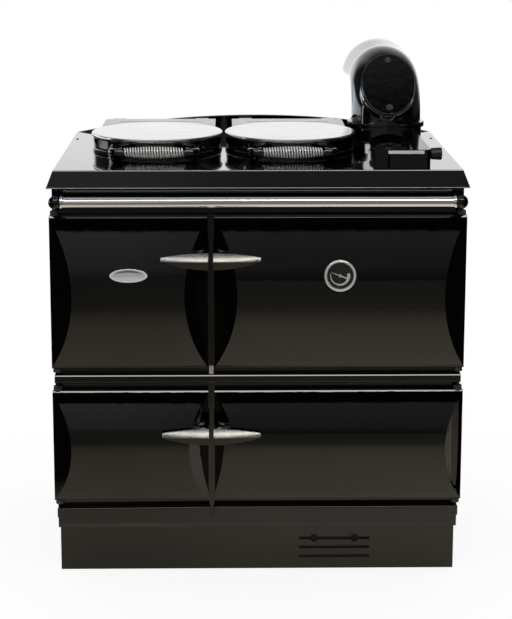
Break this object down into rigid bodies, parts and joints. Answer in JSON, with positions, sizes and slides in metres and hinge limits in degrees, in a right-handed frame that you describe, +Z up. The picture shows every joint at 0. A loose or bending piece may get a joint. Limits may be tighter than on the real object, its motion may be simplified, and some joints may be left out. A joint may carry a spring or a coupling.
{
  "type": "cast iron range cooker",
  "caption": "Free-standing enamelled cast iron range cooker with bulged doors, lidded hotplates, hand rail and a rear-facing flue elbow.",
  "frame": {"origin": "on the floor, under the middle of the hob (the middle of the base frame's centre bearer)", "axes": "+X to the right as seen from the front, +Y from the doors to the back, +Z up"},
  "size_m": [0.9, 0.736, 1.133],
  "materials": {
    "enamel": "gloss",
    "frame_iron": "matt",
    "machined_iron": "machined",
    "panel_steel": "satin",
    "spring_steel": "satin",
    "oven_steel": "satin",
    "wire_steel": "bright",
    "liner_steel": "satin",
    "bright_chrome": "polished",
    "pewter": "satin",
    "knob_black": "gloss",
    "firebrick": "matt",
    "rope_seal": "woven",
    "dial_black": "satin",
    "needle_white": "satin",
    "clear_glass": "clear"
  },
  "bodies": {
    "range": {"base_frame": "frame_iron", "plinth": "enamel", "base_plate": "frame_iron", "front_frame": "enamel", "side_panel_left": "enamel", "side_panel_right": "enamel", "back_panel": "panel_steel", "hinge_pintles": "frame_iron", "catch_springs": "spring_steel", "lower_trims": "enamel", "hob_top": "enamel", "hotplates": "machined_iron", "back_upstand": "enamel", "rail_tube": "bright_chrome", "rail_brackets": "enamel", "lid_hinge_brackets": "frame_iron", "lid_hinge_pins": "spring_steel", "flue_box": "enamel", "flue_elbow": "enamel", "soot_cover": "enamel", "cover_screws": "frame_iron", "flue_box_strip": "bright_chrome", "main_oven_box": "oven_steel", "lower_oven_box": "oven_steel", "oven_shelves": "wire_steel", "firebox": "machined_iron", "firebricks": "firebrick", "ash_pan": "panel_steel"},
    "fire_door": {"fire_door_casting": "enamel", "fire_door_liner": "liner_steel", "fire_door_seal": "rope_seal", "fire_door_pull": "pewter", "oval_plate": "bright_chrome"},
    "main_oven_door": {"main_oven_door_casting": "enamel", "main_oven_door_liner": "liner_steel", "main_oven_door_seal": "rope_seal", "main_oven_door_pull": "pewter", "thermometer_bezel": "bright_chrome", "thermometer_dial": "dial_black", "thermometer_glass": "clear_glass"},
    "thermometer_pointer": {"thermometer_needle": "needle_white"},
    "ash_door": {"ash_door_casting": "enamel", "ash_door_liner": "liner_steel", "ash_door_seal": "rope_seal", "ash_door_pull": "pewter"},
    "lower_oven_door": {"lower_oven_door_casting": "enamel", "lower_oven_door_liner": "liner_steel", "lower_oven_door_seal": "rope_seal", "lower_oven_door_pull": "pewter"},
    "left_lid": {"left_lid_cap": "bright_chrome", "left_lid_shell": "enamel", "left_lid_arms": "enamel", "left_lid_coil": "bright_chrome"},
    "right_lid": {"right_lid_cap": "bright_chrome", "right_lid_shell": "enamel", "right_lid_arms": "enamel", "right_lid_coil": "bright_chrome"},
    "damper": {"damper_flap": "frame_iron", "damper_knob": "knob_black"},
    "grate": {"riddling_grate": "machined_iron"}
  },
  "joints": [
    {"name": "fire_door_hinge", "type": "hinge", "parent": "range", "child": "fire_door", "pos_m": [-0.434, -0.291, 0.646], "axis": [0, 0, -1], "range_deg": [0, 100]},
    {"name": "main_oven_door_hinge", "type": "hinge", "parent": "range", "child": "main_oven_door", "pos_m": [0.434, -0.291, 0.646], "axis": [0, 0, 1], "range_deg": [0, 100]},
    {"name": "ash_door_hinge", "type": "hinge", "parent": "range", "child": "ash_door", "pos_m": [-0.434, -0.291, 0.303], "axis": [0, 0, -1], "range_deg": [0, 100]},
    {"name": "lower_oven_door_hinge", "type": "hinge", "parent": "range", "child": "lower_oven_door", "pos_m": [0.434, -0.291, 0.303], "axis": [0, 0, 1], "range_deg": [0, 100]},
    {"name": "left_lid_hinge", "type": "hinge", "parent": "range", "child": "left_lid", "pos_m": [-0.226, 0.233, 0.94], "axis": [-1, 0, 0], "range_deg": [0, 80]},
    {"name": "right_lid_hinge", "type": "hinge", "parent": "range", "child": "right_lid", "pos_m": [0.079, 0.233, 0.94], "axis": [-1, 0, 0], "range_deg": [0, 80]},
    {"name": "damper_spindle", "type": "hinge", "parent": "range", "child": "damper", "pos_m": [0.314, -0.254, 0.9395], "axis": [1, 0, 0], "range_deg": [0, 60]},
    {"name": "thermometer_spindle", "type": "hinge", "parent": "main_oven_door", "child": "thermometer_pointer", "pos_m": [0.173, -0.33524, 0.691], "axis": [0, -0.9925, 0.1221], "range_deg": [0, 216]},
    {"name": "grate_slide", "type": "slide", "parent": "range", "child": "grate", "axis": [0, 1, 0], "range_m": [0, 0.02]}
  ]
}
